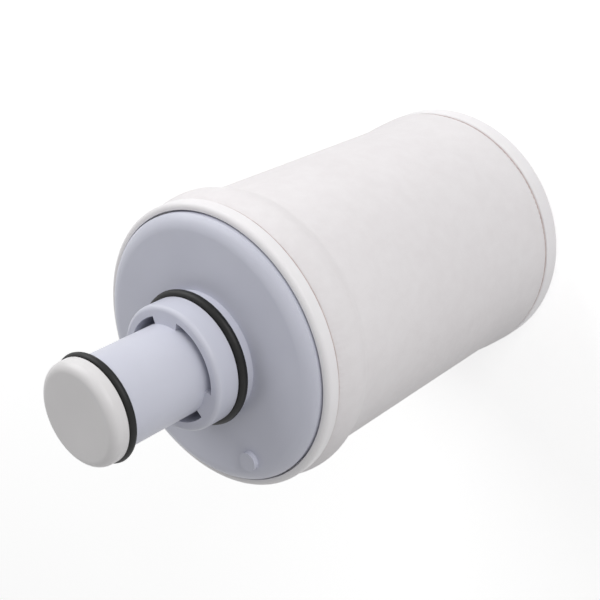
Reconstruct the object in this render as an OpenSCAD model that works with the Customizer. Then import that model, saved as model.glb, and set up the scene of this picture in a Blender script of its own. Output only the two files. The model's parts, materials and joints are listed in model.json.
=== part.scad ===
// Water purifier filter cartridge
//
// A round cartridge that stands on its flat end with its nozzle up. Water comes in through the
// soft cover, passes the pressed carbon block into the windowed core, runs up along the quartz
// sleeve of the lamp, and leaves by three arc slots between the collar and the nozzle tube.
// The closed nozzle tip holds the coil that takes power for the lamp without a plug.
//
// Frame: millimetres, +Z along the nozzle, origin at the centre of the flat end.

/* [Body] */
// Outside diameter of the soft cover between its flares
body_d = 120.4; // [104:0.4:140]
// How far each end rim stands out past the straight cover, all round
rim_flare = 1.8; // [1:0.1:4]
// Height from the flat end to the near lip
body_h = 175; // [150:1:220]
// Length of the flare from the straight cover up to each rim
flare_h = 20; // [14:1:26]
// Height of the far seam above the flat end
far_seam_h = 11.9; // [10:0.1:16]
// Distance from the near seam up to the near lip
near_seam_drop = 7.2; // [6.8:0.1:10]
// Height of the glue bead that shows at each seam
bead_h = 0.9; // [0.6:0.1:1.4]
// How far the glue bead lies below the rim's surface
bead_sink = 0.3; // [0.1:0.1:0.6]

/* [Caps] */
// Wall of the near lip, around the base plate
lip_wall = 3.1; // [2.8:0.1:4.5]
// Rounding of the near lip's outer edge
lip_round = 2.2; // [0.5:0.1:2.6]
// Rounding of the flat end's outer edge
foot_round = 3.5; // [1:0.5:6]
// Thickness of the near cap's floor
near_floor_t = 2.4; // [1.6:0.2:3.2]
// Depth of the near cap's floor below the lip
near_seat_depth = 3.5; // [3:0.1:4.5]
// Thickness of the far cap's floor
far_floor_t = 3.2; // [2.4:0.2:5]
// Diameter of the shallow panel in the flat end
panel_d = 92; // [60:2:104]
// Depth of the shallow panel in the flat end
panel_depth = 1; // [0.4:0.2:1.6]
// Length of the cap skirts under the cover, past the seam
skirt_h = 10; // [6:1:12]

/* [Filter layers] */
// Thickness of the soft cover
cover_t = 1.4; // [1:0.1:2]
// Thickness of the felt wrap around the carbon block
wrap_t = 3; // [2:0.5:6]
// Outside diameter of the windowed core
core_d = 52; // [48:1:54]
// Wall of the windowed core
core_wall = 2; // [1.4:0.2:2.4]
// Windows around the core
core_columns = 6; // [4:1:8]
// Rows of windows along the core
core_rows = 8; // [4:1:12]
// Width of each rib between two windows
core_rib = 6; // [4:0.5:8]
// Plain band at each end of the core
core_band = 14; // [8:1:20]
// Thickness of the glue between the block and each cap
glue_t = 1.5; // [1:0.1:2.5]

/* [Base plate] */
// Gap between the base plate's edge and the near lip
plate_gap = 0.8; // [0.3:0.1:1.6]
// Height of the plate's flat face above the near lip
plate_proud = 4.4; // [3:0.2:8]
// Width of the plate's rounded shoulder, seen from the end
shoulder_w = 6.5; // [3:0.5:7.5]
// Radius of the plate's rounded shoulder
shoulder_r = 8; // [8:0.5:14]
// Wall thickness of the plate
plate_wall = 2.6; // [2:0.1:3.2]
// Ribs under the plate
plate_ribs = 6; // [3:1:12]
// Thickness of each rib under the plate
plate_rib_t = 2; // [1.2:0.2:3]
// Diameter of the small round boss on the plate
boss_d = 8.4; // [5:0.2:10]
// Height of the small round boss on the plate
boss_h = 2.2; // [1:0.2:4]
// Distance of the boss's middle from the plate's edge
boss_inset = 9.9; // [9:0.1:14]
// Direction of the boss around the plate, in degrees
boss_angle = 174; // [0:1:359]

/* [Collar] */
// Outside diameter of the collar
collar_d = 54; // [53:0.2:57]
// Inside diameter of the collar, which is the outer edge of the outlet slots
collar_bore_d = 45.2; // [44:0.2:46]
// Height of the collar's front above the near lip
collar_h = 23.6; // [20:0.2:34]
// Rounding of the collar's front edge
collar_round = 1.2; // [0.4:0.2:1.6]
// Angle that each bridge between the slots spans
bridge_angle = 34; // [16:1:50]
// Direction of the first bridge, in degrees
bridge_turn = -32; // [-180:1:180]
// Number of bridges, and of slots
bridge_count = 3; // [2:1:6]

/* [Collar seal] */
// Section diameter of the large rubber ring
big_seal_t = 4.2; // [3:0.1:4.6]
// Outside diameter of the large rubber ring
big_seal_d = 58.6; // [57.4:0.2:60]
// Height of the large rubber ring's middle above the near lip
big_seal_at = 10.6; // [9:0.1:14]

/* [Nozzle] */
// Outside diameter of the nozzle tube
tube_d = 38.6; // [37.8:0.2:40]
// Wall of the nozzle tube
tube_wall = 2; // [1.6:0.1:2.2]
// Height of the tube's open end above the near lip
tube_h = 60.4; // [54:0.2:80]
// Depth of the tube's inner end below the near lip
tube_drop = 10; // [8:0.5:14]
// Diameter of the small lip behind the tip's rubber ring
land_d = 40.2; // [39.4:0.2:41]
// Thickness of that small lip
land_h = 1.5; // [1:0.1:2.5]

/* [Tip] */
// Diameter of the closed tip
tip_d = 42.8; // [41.6:0.2:44]
// Height of the closed tip, from the rubber ring to its face
tip_h = 7; // [5:0.2:12]
// Rounding of the tip's face edge
tip_round = 2.2; // [1:0.2:3]
// Wall of the tip's face
tip_face_t = 2.6; // [1.6:0.2:3.6]
// Length of the tip's spigot inside the tube
spigot_h = 11.4; // [10:0.2:16]
// Wall of the tip's spigot
spigot_wall = 1.9; // [1.2:0.1:2.2]
// Section diameter of the small rubber ring
small_seal_t = 3.5; // [2.6:0.1:4]
// Diameter of the neck that the small rubber ring sits on
neck_d = 38; // [37:0.2:39]

/* [Lamp] */
// Outside diameter of the quartz sleeve
quartz_d = 28; // [26:0.5:29]
// Wall of the quartz sleeve
quartz_t = 1.3; // [1:0.1:1.6]
// Height of the sleeve's open end above the near lip
quartz_top = 7; // [5.5:0.5:9]
// Thickness of the shelf that the sleeve's rubber ring rests on
shelf_t = 2.6; // [2:0.1:4]
// Height of the retainer ring that holds the sleeve's rubber ring
retainer_h = 5; // [3:0.5:6]
// Rubber under the closed end of the sleeve
foot_t = 4; // [2:0.5:8]
// Height of the rubber foot
foot_h = 10; // [7:0.5:11]
// Diameter of the lamp's glass
lamp_d = 16; // [12:0.5:17]
// Wall of the lamp's glass
lamp_wall = 0.8; // [0.6:0.1:1.2]
// Thickness of the glass that closes each end of the lamp
press_t = 3; // [2:0.5:5]
// Height of the lamp's far end above the flat end
lamp_from = 26; // [24:1:40]
// Height of the lamp's near end above the near lip
lamp_top = 15; // [14:0.5:17]
// Height of each lamp cap
lamp_cap_h = 12; // [9:0.5:12]
// Wall of each lamp cap
lamp_cap_wall = 0.8; // [0.6:0.1:1.2]
// Height of each rubber cushion between lamp and sleeve
cushion_h = 6; // [4:0.5:10]
// Distance of each cushion from the end of the lamp's glass
cushion_inset = 14; // [13:0.5:16]
// Diameter of the wires that run back along the lamp
wire_d = 1.4; // [0.8:0.1:1.6]
// Angle between those two wires, seen from the end
wire_angle = 24; // [16:1:60]
// Height of the lamp socket
socket_h = 10; // [8:0.5:11]
// Diameter of each lamp pin
pin_d = 2; // [1.4:0.1:2.6]
// Length of each lamp pin
pin_h = 6; // [4:0.5:7]

/* [Power coil] */
// Thickness of the circuit board
board_t = 1.6; // [0.8:0.1:2.4]
// Diameter of the two capacitors on the board
capacitor_d = 8; // [5:0.5:9]
// Height of the two capacitors
capacitor_h = 10; // [6:0.5:11]
// Height of the coil with its bobbin
coil_h = 14.6; // [10:0.2:15.4]
// Thickness of the bobbin's flanges
flange_t = 1.2; // [0.8:0.1:2]
// Diameter of the bobbin's hub
hub_d = 12; // [8:0.5:16]
// How far the winding stays inside the bobbin's edge
coil_inset = 0.8; // [0.4:0.1:2]

/* [Hidden] */
$fn = 96;

// Clearance between pieces that slide together
slip = 0.2;
// Clearance between pieces that touch all round
snug = 0.1;
// Overlap that joins two shapes of the same piece
bite = 0.5;
// A length that is larger than any piece here
far_out = 400;

// Radii of the body and heights of its seams
body_r = body_d / 2;
rim_r = body_r + rim_flare;
cover_in_r = body_r - cover_t;
near_seam_z = body_h - near_seam_drop;
cove_r = (flare_h * flare_h + rim_flare * rim_flare) / (2 * rim_flare);

// Layers of the filter, from the outside in
wrap_r = cover_in_r - slip - snug;
block_r = wrap_r - wrap_t;
core_r = core_d / 2;
core_in_r = core_r - core_wall;
lip_r = rim_r - lip_wall;
seat_z = body_h - near_seat_depth;
near_floor_z = seat_z - near_floor_t;
block_z0 = far_floor_t + glue_t;
block_z1 = near_floor_z - glue_t;

// Base plate, collar and tube
plate_r = lip_r - plate_gap;
face_z = body_h + plate_proud;
shoulder_in_r = plate_r - shoulder_w;
collar_r = collar_d / 2;
collar_bore_r = collar_bore_d / 2;
collar_z = body_h + collar_h;
ring_r = collar_bore_r + plate_wall;
big_seal_r = (big_seal_d - big_seal_t) / 2;
big_seal_z = body_h + big_seal_at;
tube_r = tube_d / 2;
tube_in_r = tube_r - tube_wall;
tube_z0 = body_h - tube_drop;
tube_z1 = body_h + tube_h;
neck_r = neck_d / 2;
neck_h = small_seal_t + slip;
small_seal_r = neck_r + small_seal_t / 2;
small_seal_z = tube_z1 + neck_h / 2;
tip_z0 = tube_z1 + neck_h;
tip_z1 = tip_z0 + tip_h;
spigot_r = tube_in_r - slip;
spigot_z0 = tube_z1 - spigot_h;
cup_in_r = spigot_r - spigot_wall;

// Quartz sleeve and its seals
quartz_r = quartz_d / 2;
quartz_in_r = quartz_r - quartz_t;
quartz_z0 = far_floor_t + foot_t + quartz_r + snug;
quartz_z1 = body_h + quartz_top;
foot_edge = 1.6;
foot_r = quartz_r - foot_edge;
foot_socket_wall = 2;
foot_socket_drop = 3;
foot_socket_r = foot_r + snug;
foot_socket_z = far_floor_t + foot_h - foot_socket_drop;
sleeve_seal_t = tube_in_r - quartz_r;
sleeve_seal_r = (tube_in_r + quartz_r) / 2;
shelf_z = tube_z0 + shelf_t;
sleeve_seal_z = shelf_z + sleeve_seal_t / 2;
retainer_z = shelf_z + sleeve_seal_t;

// Lamp, its caps and its wires
lamp_r = lamp_d / 2;
lamp_z0 = lamp_from;
lamp_z1 = body_h + lamp_top;
lamp_cap_r = lamp_r + snug + lamp_cap_wall;
lamp_cap_end = 4;
lamp_cap_z = lamp_z1 + lamp_cap_end;
wire_r = wire_d / 2;
wire_at = (lamp_cap_r + quartz_in_r) / 2;
socket_z0 = lamp_cap_z;
socket_z1 = socket_z0 + socket_h;
pin_at = lamp_r / 2;
post_h = 12;
post_r = 0.4;
filament_r = 0.9;
post_edge = 3;
post_at = lamp_r - lamp_wall - post_edge;

// Circuit board and coil
board_z1 = spigot_z0;
board_z0 = board_z1 - board_t;
capacitor_edge = 2.5;
capacitor_at = spigot_r - capacitor_edge - capacitor_d / 2;
hub_wall = 1.5;
coil_z1 = tip_z1 - tip_face_t;
coil_z0 = coil_z1 - coil_h;
flange_r = cup_in_r - slip;
lead_r = 0.5;
lead_at = (hub_d / 2 + flange_r) / 2;

// Flat ring with a square section
module ring(outer, inner, z0, z1) {
  rotate_extrude() translate([inner, z0]) square([outer - inner, z1 - z0]);
}

// Half section of the flared body, with its straight stretch at the given radius
module flared_half(r) {
  z_low = far_seam_h + flare_h;
  z_high = near_seam_z - flare_h;
  difference() {
    translate([0, far_seam_h]) square([r + rim_flare, near_seam_z - far_seam_h]);
    translate([r, z_low]) square([far_out, z_high - z_low]);
    for (z = [z_low, z_high]) translate([r + cove_r, z]) circle(cove_r, $fn = 360);
  }
}

// Half section of a cap's skirt, between the felt wrap and the flared cover
module skirt_half(z0, z1) {
  intersection() {
    difference() {
      flared_half(cover_in_r - snug);
      translate([0, far_seam_h]) square([wrap_r + slip, body_h]);
    }
    translate([0, z0]) square([rim_r, z1 - z0]);
  }
}

// Small overlap in the half section that joins a skirt to its cap at the given seam
module skirt_root(z) {
  translate([wrap_r + slip, z - bite]) square([rim_flare / 2, 2 * bite]);
}

// Closed cap with the skirt and the flat end that the cartridge stands on
module far_cap() {
  rim_top = far_seam_h - bead_h;
  color("white") {
    rotate_extrude() {
      difference() {
        union() {
          square([rim_r - foot_round, rim_top]);
          translate([rim_r - foot_round, foot_round]) circle(foot_round);
          translate([0, foot_round]) square([rim_r, rim_top - foot_round]);
          translate([0, foot_round]) square([rim_r - cover_t - snug, far_seam_h - foot_round]);
        }
        translate([0, far_floor_t]) square([wrap_r + slip, far_seam_h]);
        square([panel_d / 2, panel_depth]);
      }
      skirt_half(far_seam_h, far_seam_h + skirt_h);
      skirt_root(far_seam_h);
    }
    ring(foot_socket_r + foot_socket_wall, foot_socket_r, far_floor_t - bite, foot_socket_z);
  }
}

// Ring-shaped cap with the skirt, the lip and the floor that carries the base plate
module near_cap() {
  rim_bottom = near_seam_z + bead_h;
  color("white") rotate_extrude() {
    difference() {
      union() {
        translate([0, rim_bottom]) square([rim_r, body_h - lip_round - rim_bottom]);
        translate([rim_r - lip_round, body_h - lip_round]) circle(lip_round);
        translate([0, rim_bottom]) square([rim_r - lip_round, body_h - rim_bottom]);
        translate([0, near_seam_z]) square([rim_r - cover_t - snug, bead_h + bite]);
      }
      translate([0, seat_z]) square([lip_r, body_h]);
      square([core_in_r, body_h]);
      square([wrap_r + slip, near_floor_z]);
    }
    skirt_half(near_seam_z - skirt_h, near_seam_z);
    skirt_root(near_seam_z);
  }
}

// Soft pre-filter cover, which flares out over both cap skirts
module soft_cover() {
  color("whitesmoke") rotate_extrude() difference() {
    flared_half(body_r);
    flared_half(cover_in_r);
  }
}

// Glue bead that shows as a fine line between the cover's edge and a cap's rim
module seam_bead(z) {
  color("rosybrown") ring(rim_r - bead_sink, rim_r - cover_t, z, z + bead_h);
}

// Felt sleeve around the carbon block
module felt_wrap() {
  color("gainsboro") ring(wrap_r, block_r + snug, block_z0, block_z1);
}

// Pressed carbon block with a straight bore
module carbon_block() {
  color("dimgray") ring(block_r, core_r + slip, block_z0, block_z1);
}

// Moulded core with rows of windows between its ribs
module core_tube() {
  window_h = (near_floor_z - far_floor_t - 2 * core_band + core_rib) / core_rows - core_rib;
  chord = 2 * core_r * sin(180 / core_columns);
  color("white") difference() {
    ring(core_r, core_in_r, far_floor_t, near_floor_z);
    for (row = [0 : core_rows - 1], column = [0 : core_columns - 1])
      rotate(column * 360 / core_columns)
        translate([core_in_r * cos(180 / core_columns) - bite, (core_rib - chord) / 2,
                   far_floor_t + core_band + row * (window_h + core_rib)])
          cube([core_r, chord - core_rib, window_h]);
  }
}

// Layer of glue between an end of the block and a cap
module glue_pad(z) {
  color("linen") ring(wrap_r, core_r + slip, z, z + glue_t);
}

// Half section of the base plate's closed form, drawn in by the given inset
module plate_half(inset) {
  arc_z = face_z - shoulder_r;
  intersection() {
    translate([0, seat_z]) square([plate_r - inset, face_z - inset - seat_z]);
    union() {
      translate([0, seat_z]) square([shoulder_in_r, face_z]);
      translate([shoulder_in_r, arc_z]) circle(shoulder_r - inset, $fn = 180);
      square([plate_r, arc_z]);
    }
  }
}

// Half section of the plate's shell with the collar, before the slots are cut
module plate_shell_half() {
  difference() {
    union() {
      plate_half(0);
      translate([0, seat_z]) square([collar_r, collar_z - collar_round - seat_z]);
      translate([0, collar_z - bite - collar_round]) square([collar_r - collar_round, collar_round + bite]);
      translate([collar_r - collar_round, collar_z - collar_round]) circle(collar_round);
    }
    difference() {
      plate_half(plate_wall);
      square([ring_r, body_h + collar_h]);
    }
    translate([big_seal_r - big_seal_t / 2, big_seal_z - big_seal_t / 2 - slip])
      square([collar_r, big_seal_t + 2 * slip]);
    square([tube_r - bite, collar_z + bite]);
  }
}

// Half section of the nozzle tube with the shelf for the sleeve's rubber ring
module tube_half() {
  translate([tube_in_r, tube_z0]) square([tube_wall, tube_z1 - tube_z0]);
  translate([tube_in_r, tube_z1 - land_h]) square([land_d / 2 - tube_in_r, land_h]);
  translate([quartz_r + slip, tube_z0]) square([tube_in_r + bite - quartz_r - slip, shelf_t]);
}

// One moulding: plate with rounded shoulder, collar, outlet slots, nozzle tube and boss
module base_plate() {
  step = 360 / bridge_count;
  slot_angle = step - bridge_angle;
  color("lavender") {
    difference() {
      rotate_extrude() plate_shell_half();
      for (i = [0 : bridge_count - 1])
        rotate(bridge_turn + bridge_angle / 2 + i * step)
          rotate_extrude(angle = slot_angle)
            translate([tube_in_r, seat_z - bite])
              square([collar_bore_r - tube_in_r, collar_z - seat_z + 2 * bite]);
    }
    rotate_extrude() tube_half();
    intersection() {
      rotate_extrude() plate_half(plate_wall / 2);
      for (i = [0 : plate_ribs - 1])
        rotate(i * 360 / plate_ribs)
          translate([ring_r - bite, -plate_rib_t / 2, seat_z]) cube([plate_r, plate_rib_t, far_out]);
    }
    rotate(boss_angle) translate([plate_r - boss_inset, 0, face_z - bite])
      cylinder(boss_h + bite, d = boss_d);
  }
}

// Rubber ring with a round section
module rubber_ring(r, thickness, z) {
  color("black") rotate_extrude() translate([r, z]) circle(d = thickness);
}

// Closed tip that plugs the nozzle tube and holds the coil
module end_cup() {
  color("gainsboro") rotate_extrude() difference() {
    union() {
      translate([0, tip_z0]) square([tip_d / 2, tip_h - tip_round]);
      translate([0, tip_z0]) square([tip_d / 2 - tip_round, tip_h]);
      translate([tip_d / 2 - tip_round, tip_z1 - tip_round]) circle(tip_round);
      translate([0, tube_z1]) square([neck_r, neck_h + bite]);
      translate([0, spigot_z0]) square([spigot_r, spigot_h + bite]);
    }
    translate([0, spigot_z0 - bite]) square([cup_in_r, coil_z1 - spigot_z0 + bite]);
  }
}

// Half section of a round rod with a domed lower end
module dome_half(r, z0, z1) {
  translate([0, z0]) square([r, z1 - z0]);
  intersection() {
    translate([0, z0]) circle(r);
    translate([0, z0 - r]) square([r, r + bite]);
  }
}

// Quartz sleeve that keeps the lamp dry
module quartz_sleeve() {
  color("lightcyan") rotate_extrude() difference() {
    dome_half(quartz_r, quartz_z0, quartz_z1);
    dome_half(quartz_in_r, quartz_z0, quartz_z1 + bite);
  }
}

// Rubber foot in the far cap that the sleeve's closed end rests in
module sleeve_foot() {
  color("dimgray") rotate_extrude() difference() {
    translate([0, far_floor_t]) square([foot_r, foot_h]);
    translate([0, quartz_z0]) circle(quartz_r + snug);
  }
}

// Ring that holds the sleeve's rubber ring down on its shelf
module seal_retainer() {
  color("white") ring(tube_in_r - slip, quartz_r + slip, retainer_z, retainer_z + retainer_h);
}

// Closed glass of the lamp
module lamp_glass() {
  color("azure") difference() {
    translate([0, 0, lamp_z0]) cylinder(lamp_z1 - lamp_z0, r = lamp_r);
    translate([0, 0, lamp_z0 + press_t]) cylinder(lamp_z1 - lamp_z0 - 2 * press_t, r = lamp_r - lamp_wall);
  }
}

// Cap over an end of the lamp, with its closed side at the origin and its mouth up
module lamp_cap() {
  difference() {
    cylinder(lamp_cap_h, r = lamp_cap_r);
    translate([0, 0, lamp_cap_end]) cylinder(lamp_cap_h, r = lamp_r + snug);
  }
}

// Cap over the lamp's far end
module far_lamp_cap() {
  color("silver") translate([0, 0, lamp_z0 - lamp_cap_end]) lamp_cap();
}

// Cap over the lamp's near end, against the socket
module near_lamp_cap() {
  color("silver") translate([0, 0, lamp_cap_z]) mirror([0, 0, 1]) lamp_cap();
}

// Two posts with a coiled filament between them, standing on the glass at the origin
module electrode() {
  for (side = [-1, 1]) translate([side * post_at, 0, 0]) cylinder(post_h, r = post_r);
  translate([-post_at, 0, post_h - filament_r]) rotate([0, 90, 0]) cylinder(2 * post_at, r = filament_r);
}

// The electrodes at both ends, inside the glass
module lamp_electrodes() {
  color("gray") {
    translate([0, 0, lamp_z0 + press_t]) electrode();
    translate([0, 0, lamp_z1 - press_t]) mirror([0, 0, 1]) electrode();
  }
}

// Rubber cushion that centres the lamp in its sleeve, with holes for the two wires
module cushion(z) {
  color("silver") difference() {
    ring(quartz_in_r - snug, lamp_r + snug, z, z + cushion_h);
    at_wires() translate([0, 0, z - bite]) cylinder(cushion_h + 2 * bite, r = wire_r + snug);
  }
}

// Places its children at the two wires beside the lamp
module at_wires() {
  for (side = [-1, 1]) rotate(side * wire_angle / 2) translate([wire_at, 0, 0]) children();
}

// Places its children at the four pins
module at_pins() {
  for (i = [0 : 3]) rotate(45 + 90 * i) translate([pin_at, 0, 0]) children();
}

// Wires from the lamp's far end back to the socket
module return_wires() {
  color("white") at_wires()
    translate([0, 0, lamp_z0]) cylinder(socket_z1 - lamp_z0, r = wire_r);
}

// Four contact pins on the lamp's near cap
module lamp_pins() {
  color("gold") at_pins() translate([0, 0, lamp_cap_z]) cylinder(pin_h, d = pin_d);
}

// Socket disc that fills the tube and takes the lamp's pins
module lamp_socket() {
  color("white") difference() {
    translate([0, 0, socket_z0]) cylinder(socket_h, r = tube_in_r - slip);
    at_pins() translate([0, 0, socket_z0 - bite]) cylinder(pin_h + snug + bite, d = pin_d + 2 * snug);
    at_wires() translate([0, 0, socket_z0 - bite]) cylinder(socket_h + 2 * bite, r = wire_r + snug);
  }
}

// Four short leads from the socket to the board
module socket_leads() {
  color("orangered") at_pins()
    translate([0, 0, socket_z1]) cylinder(board_z0 - socket_z1, r = lead_r);
}

// Round circuit board against the tip's spigot
module circuit_board() {
  color("seagreen") translate([0, 0, board_z0]) cylinder(board_t, r = spigot_r);
}

// Two capacitors that hang from the board
module board_capacitors() {
  color("navy") for (side = [-1, 1])
    translate([0, side * capacitor_at, board_z0 - capacitor_h]) cylinder(capacitor_h, d = capacitor_d);
}

// Bobbin with two flanges and a hollow hub
module coil_bobbin() {
  color("ivory") difference() {
    rotate_extrude() {
      translate([0, coil_z0]) square([hub_d / 2, coil_h]);
      for (z = [coil_z0, coil_z1 - flange_t]) translate([0, z]) square([flange_r, flange_t]);
    }
    translate([0, 0, coil_z0 - bite]) cylinder(coil_h - flange_t + bite, d = hub_d - 2 * hub_wall);
    at_leads() translate([0, 0, coil_z0 - bite]) cylinder(flange_t + 2 * bite, r = lead_r + snug);
  }
}

// Copper winding on the bobbin
module power_coil() {
  color("peru") ring(flange_r - coil_inset, hub_d / 2 + snug,
                     coil_z0 + flange_t, coil_z1 - flange_t);
}

// Places its children at the coil's two leads
module at_leads() {
  for (side = [-1, 1]) translate([side * lead_at, 0, 0]) children();
}

// Two leads from the winding to the board
module coil_leads() {
  color("peru") at_leads()
    translate([0, 0, board_z1]) cylinder(coil_z0 + flange_t - board_z1, r = lead_r);
}

far_cap();
near_cap();
soft_cover();
seam_bead(far_seam_h - bead_h);  // far_seam_bead
seam_bead(near_seam_z);  // near_seam_bead
felt_wrap();
carbon_block();
core_tube();
glue_pad(far_floor_t);  // far_glue
glue_pad(block_z1);  // near_glue
base_plate();
rubber_ring(big_seal_r, big_seal_t, big_seal_z);  // collar_seal
end_cup();
rubber_ring(small_seal_r, small_seal_t, small_seal_z);  // tip_seal
quartz_sleeve();
sleeve_foot();
rubber_ring(sleeve_seal_r, sleeve_seal_t, sleeve_seal_z);  // sleeve_seal
seal_retainer();
lamp_glass();
far_lamp_cap();
near_lamp_cap();
lamp_electrodes();
cushion(lamp_z0 + cushion_inset);  // far_cushion
cushion(lamp_z1 - cushion_inset - cushion_h);  // near_cushion
return_wires();
lamp_pins();
lamp_socket();
socket_leads();
circuit_board();
board_capacitors();
coil_bobbin();
power_coil();
coil_leads();
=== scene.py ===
# %% [markdown]
# # A water purifier filter cartridge
# The cartridge is a round filter in a soft white cover. It stands here on its flat end, with the
# sealed nozzle up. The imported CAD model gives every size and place, and this file gives the
# pieces their real edges, cloth, rubber and plastic. Everything is in metres, in the same frame
# as the CAD model, so nothing has to be fitted: a piece is simply made where it belongs.

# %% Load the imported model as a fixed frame
import json
import math

import bmesh
import bpy
from mathutils import Matrix, Vector


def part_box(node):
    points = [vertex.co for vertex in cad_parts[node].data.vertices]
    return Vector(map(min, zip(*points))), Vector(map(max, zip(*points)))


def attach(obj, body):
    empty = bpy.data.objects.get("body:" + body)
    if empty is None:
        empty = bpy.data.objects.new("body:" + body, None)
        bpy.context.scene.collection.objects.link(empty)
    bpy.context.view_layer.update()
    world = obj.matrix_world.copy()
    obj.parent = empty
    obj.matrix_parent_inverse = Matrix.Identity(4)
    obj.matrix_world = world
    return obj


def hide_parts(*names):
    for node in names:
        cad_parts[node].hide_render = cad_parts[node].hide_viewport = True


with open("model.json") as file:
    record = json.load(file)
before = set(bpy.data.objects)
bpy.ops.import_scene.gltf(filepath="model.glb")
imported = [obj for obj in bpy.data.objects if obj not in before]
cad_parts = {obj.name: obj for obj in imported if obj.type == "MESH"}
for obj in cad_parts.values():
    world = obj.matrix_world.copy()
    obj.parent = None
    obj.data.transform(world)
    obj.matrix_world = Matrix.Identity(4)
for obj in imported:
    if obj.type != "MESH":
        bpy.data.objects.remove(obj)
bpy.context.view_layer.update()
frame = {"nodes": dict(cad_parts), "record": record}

nodes = frame["nodes"]

# %% [markdown]
# ## Sizes
# The frame knows where each node is, so heights and outer radii are read from it. The few sizes
# that a box can't show, such as a wall or a rounding, are named here once, in metres.

# %% Sizes read from the frame
MM = 0.001


def radius_of(node):
    """Outer radius of a round CAD node that is centred on the axis."""
    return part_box(node)[1].x


def foot_of(node):
    """Lowest height of a CAD node."""
    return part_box(node)[0].z


def top_of(node):
    """Highest height of a CAD node."""
    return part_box(node)[1].z


rim_r = radius_of("near_cap")
lip_z = top_of("near_cap")
plate_r = radius_of("base_plate")
tube_z0 = foot_of("base_plate")
tube_z1 = top_of("base_plate")
tip_r = radius_of("end_cup")
tip_z1 = top_of("end_cup")
seam_low = foot_of("soft_cover")
seam_high = top_of("soft_cover")
print("rim radius", round(rim_r / MM, 2), "mm, lip at", round(lip_z / MM, 2), "mm")

# %% Sizes of walls and roundings
lip_wall = 3.1 * MM
lip_round = 2.2 * MM
seat_drop = 3.5 * MM
near_floor = 2.4 * MM
foot_round = 3.5 * MM
far_floor = 3.2 * MM
panel_r = 46 * MM
panel_depth = 1 * MM
cover_wall = 1.4 * MM
rim_flare = 1.8 * MM
flare_length = 20 * MM
skirt_length = 10 * MM
bead_height = 0.9 * MM
core_bore_r = 24 * MM
edge_round = 0.3 * MM
weld_gap = 0.002 * MM
seam_round = 0.7 * MM
bead_drop = 0.35 * MM

body_r = rim_r - rim_flare
skirt_in_r = body_r - cover_wall - 0.1 * MM
cove_r = (flare_length ** 2 + rim_flare ** 2) / (2 * rim_flare)
print("the flare follows an arc of", round(cove_r / MM, 1), "mm radius")

# %% [markdown]
# ## Camera
# The photo looks down on the nozzle from the front with a long lens, and the cartridge lies
# slantwise in the picture. The cartridge stands upright here, so the camera is rolled instead.
# Aiming with a track quaternion and then rolling about the view line keeps the two apart.

# %% Camera at the photo's angle
CAMERA_AT = Vector((0, -0.3714, 0.4683))
LOOK_AT = Vector((0.0015, 0, 0.1184))
CAMERA_ROLL = -116.8
LENS = 69.0

camera_data = bpy.data.cameras.new("camera")
camera = bpy.data.objects.new("camera", camera_data)
bpy.context.scene.collection.objects.link(camera)
camera_data.lens = LENS
camera_data.sensor_width = 36
aim = (LOOK_AT - CAMERA_AT).to_track_quat("-Z", "Y").to_matrix()
roll = Matrix.Rotation(math.radians(CAMERA_ROLL), 3, "Z")
camera.matrix_world = Matrix.Translation(CAMERA_AT) @ (aim @ roll).to_4x4()
camera_data.clip_start = 0.01
camera_data.clip_end = 20
bpy.context.scene.camera = camera
bpy.context.scene.view_settings.view_transform = "Standard"
print("camera stands", round((LOOK_AT - CAMERA_AT).length, 3), "m from what it looks at")

# %% [markdown]
# ## Materials from nodes
# Each finish is a small node tree. The helpers below keep every recipe short: one starts a
# material with the constants on the shader's own sockets, one adds a node and sets its inputs,
# and one turns a height pattern into bump. All patterns read Object coordinates, so they stay in
# place on the piece and have their real size in metres.

# %% Helpers for node trees
def new_finish(name, roughness, **constants):
    """A material with one Principled shader, with its constants on the shader's own sockets."""
    material = bpy.data.materials.new(name)
    material.use_nodes = True
    tree = material.node_tree
    shader = tree.nodes["Principled BSDF"]
    shader.inputs["Roughness"].default_value = roughness
    for socket, value in constants.items():
        shader.inputs[socket.replace("_", " ")].default_value = value
    return material, tree, shader


def add_node(tree, kind, inputs=None, **settings):
    """A node of that kind. Inputs are values or other nodes' sockets, and settings are its options."""
    node = tree.nodes.new(kind)
    for key, value in settings.items():
        setattr(node, key, value)
    for key, value in (inputs or {}).items():
        if isinstance(value, bpy.types.NodeSocket):
            tree.links.new(value, node.inputs[key])
        else:
            node.inputs[key].default_value = value
    return node


def object_place(tree, stretch=(1, 1, 1), turn=(0, 0, 0)):
    """Object coordinates, stretched for patterns that run one way."""
    coordinates = add_node(tree, "ShaderNodeTexCoord")
    inputs = {"Vector": coordinates.outputs["Object"], "Scale": stretch, "Rotation": turn}
    return add_node(tree, "ShaderNodeMapping", inputs).outputs["Vector"]


def noise(tree, place, per_metre, detail=4, roughness=0.5):
    """Noise with that many blobs to the metre."""
    inputs = {"Vector": place, "Scale": per_metre, "Detail": detail, "Roughness": roughness}
    return add_node(tree, "ShaderNodeTexNoise", inputs).outputs["Fac"]


def spread(tree, value, low, high, to_low, to_high):
    """Maps a value from one range to another, and holds it inside the new one."""
    inputs = {0: value, 1: low, 2: high, 3: to_low, 4: to_high}
    return add_node(tree, "ShaderNodeMapRange", inputs).outputs[0]


def calculate(tree, operation, first, second=0.0):
    """One step of arithmetic on two values."""
    return add_node(tree, "ShaderNodeMath", {0: first, 1: second}, operation=operation).outputs[0]


def two_tones(tree, amount, dark, light):
    """A colour between two tones."""
    return mix_colours(tree, amount, (*dark, 1), (*light, 1))


def mix_colours(tree, amount, first, second):
    """A colour between two others, which are values or sockets."""
    inputs = {0: amount, 6: first, 7: second}
    return add_node(tree, "ShaderNodeMix", inputs, data_type="RGBA").outputs[2]


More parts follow.
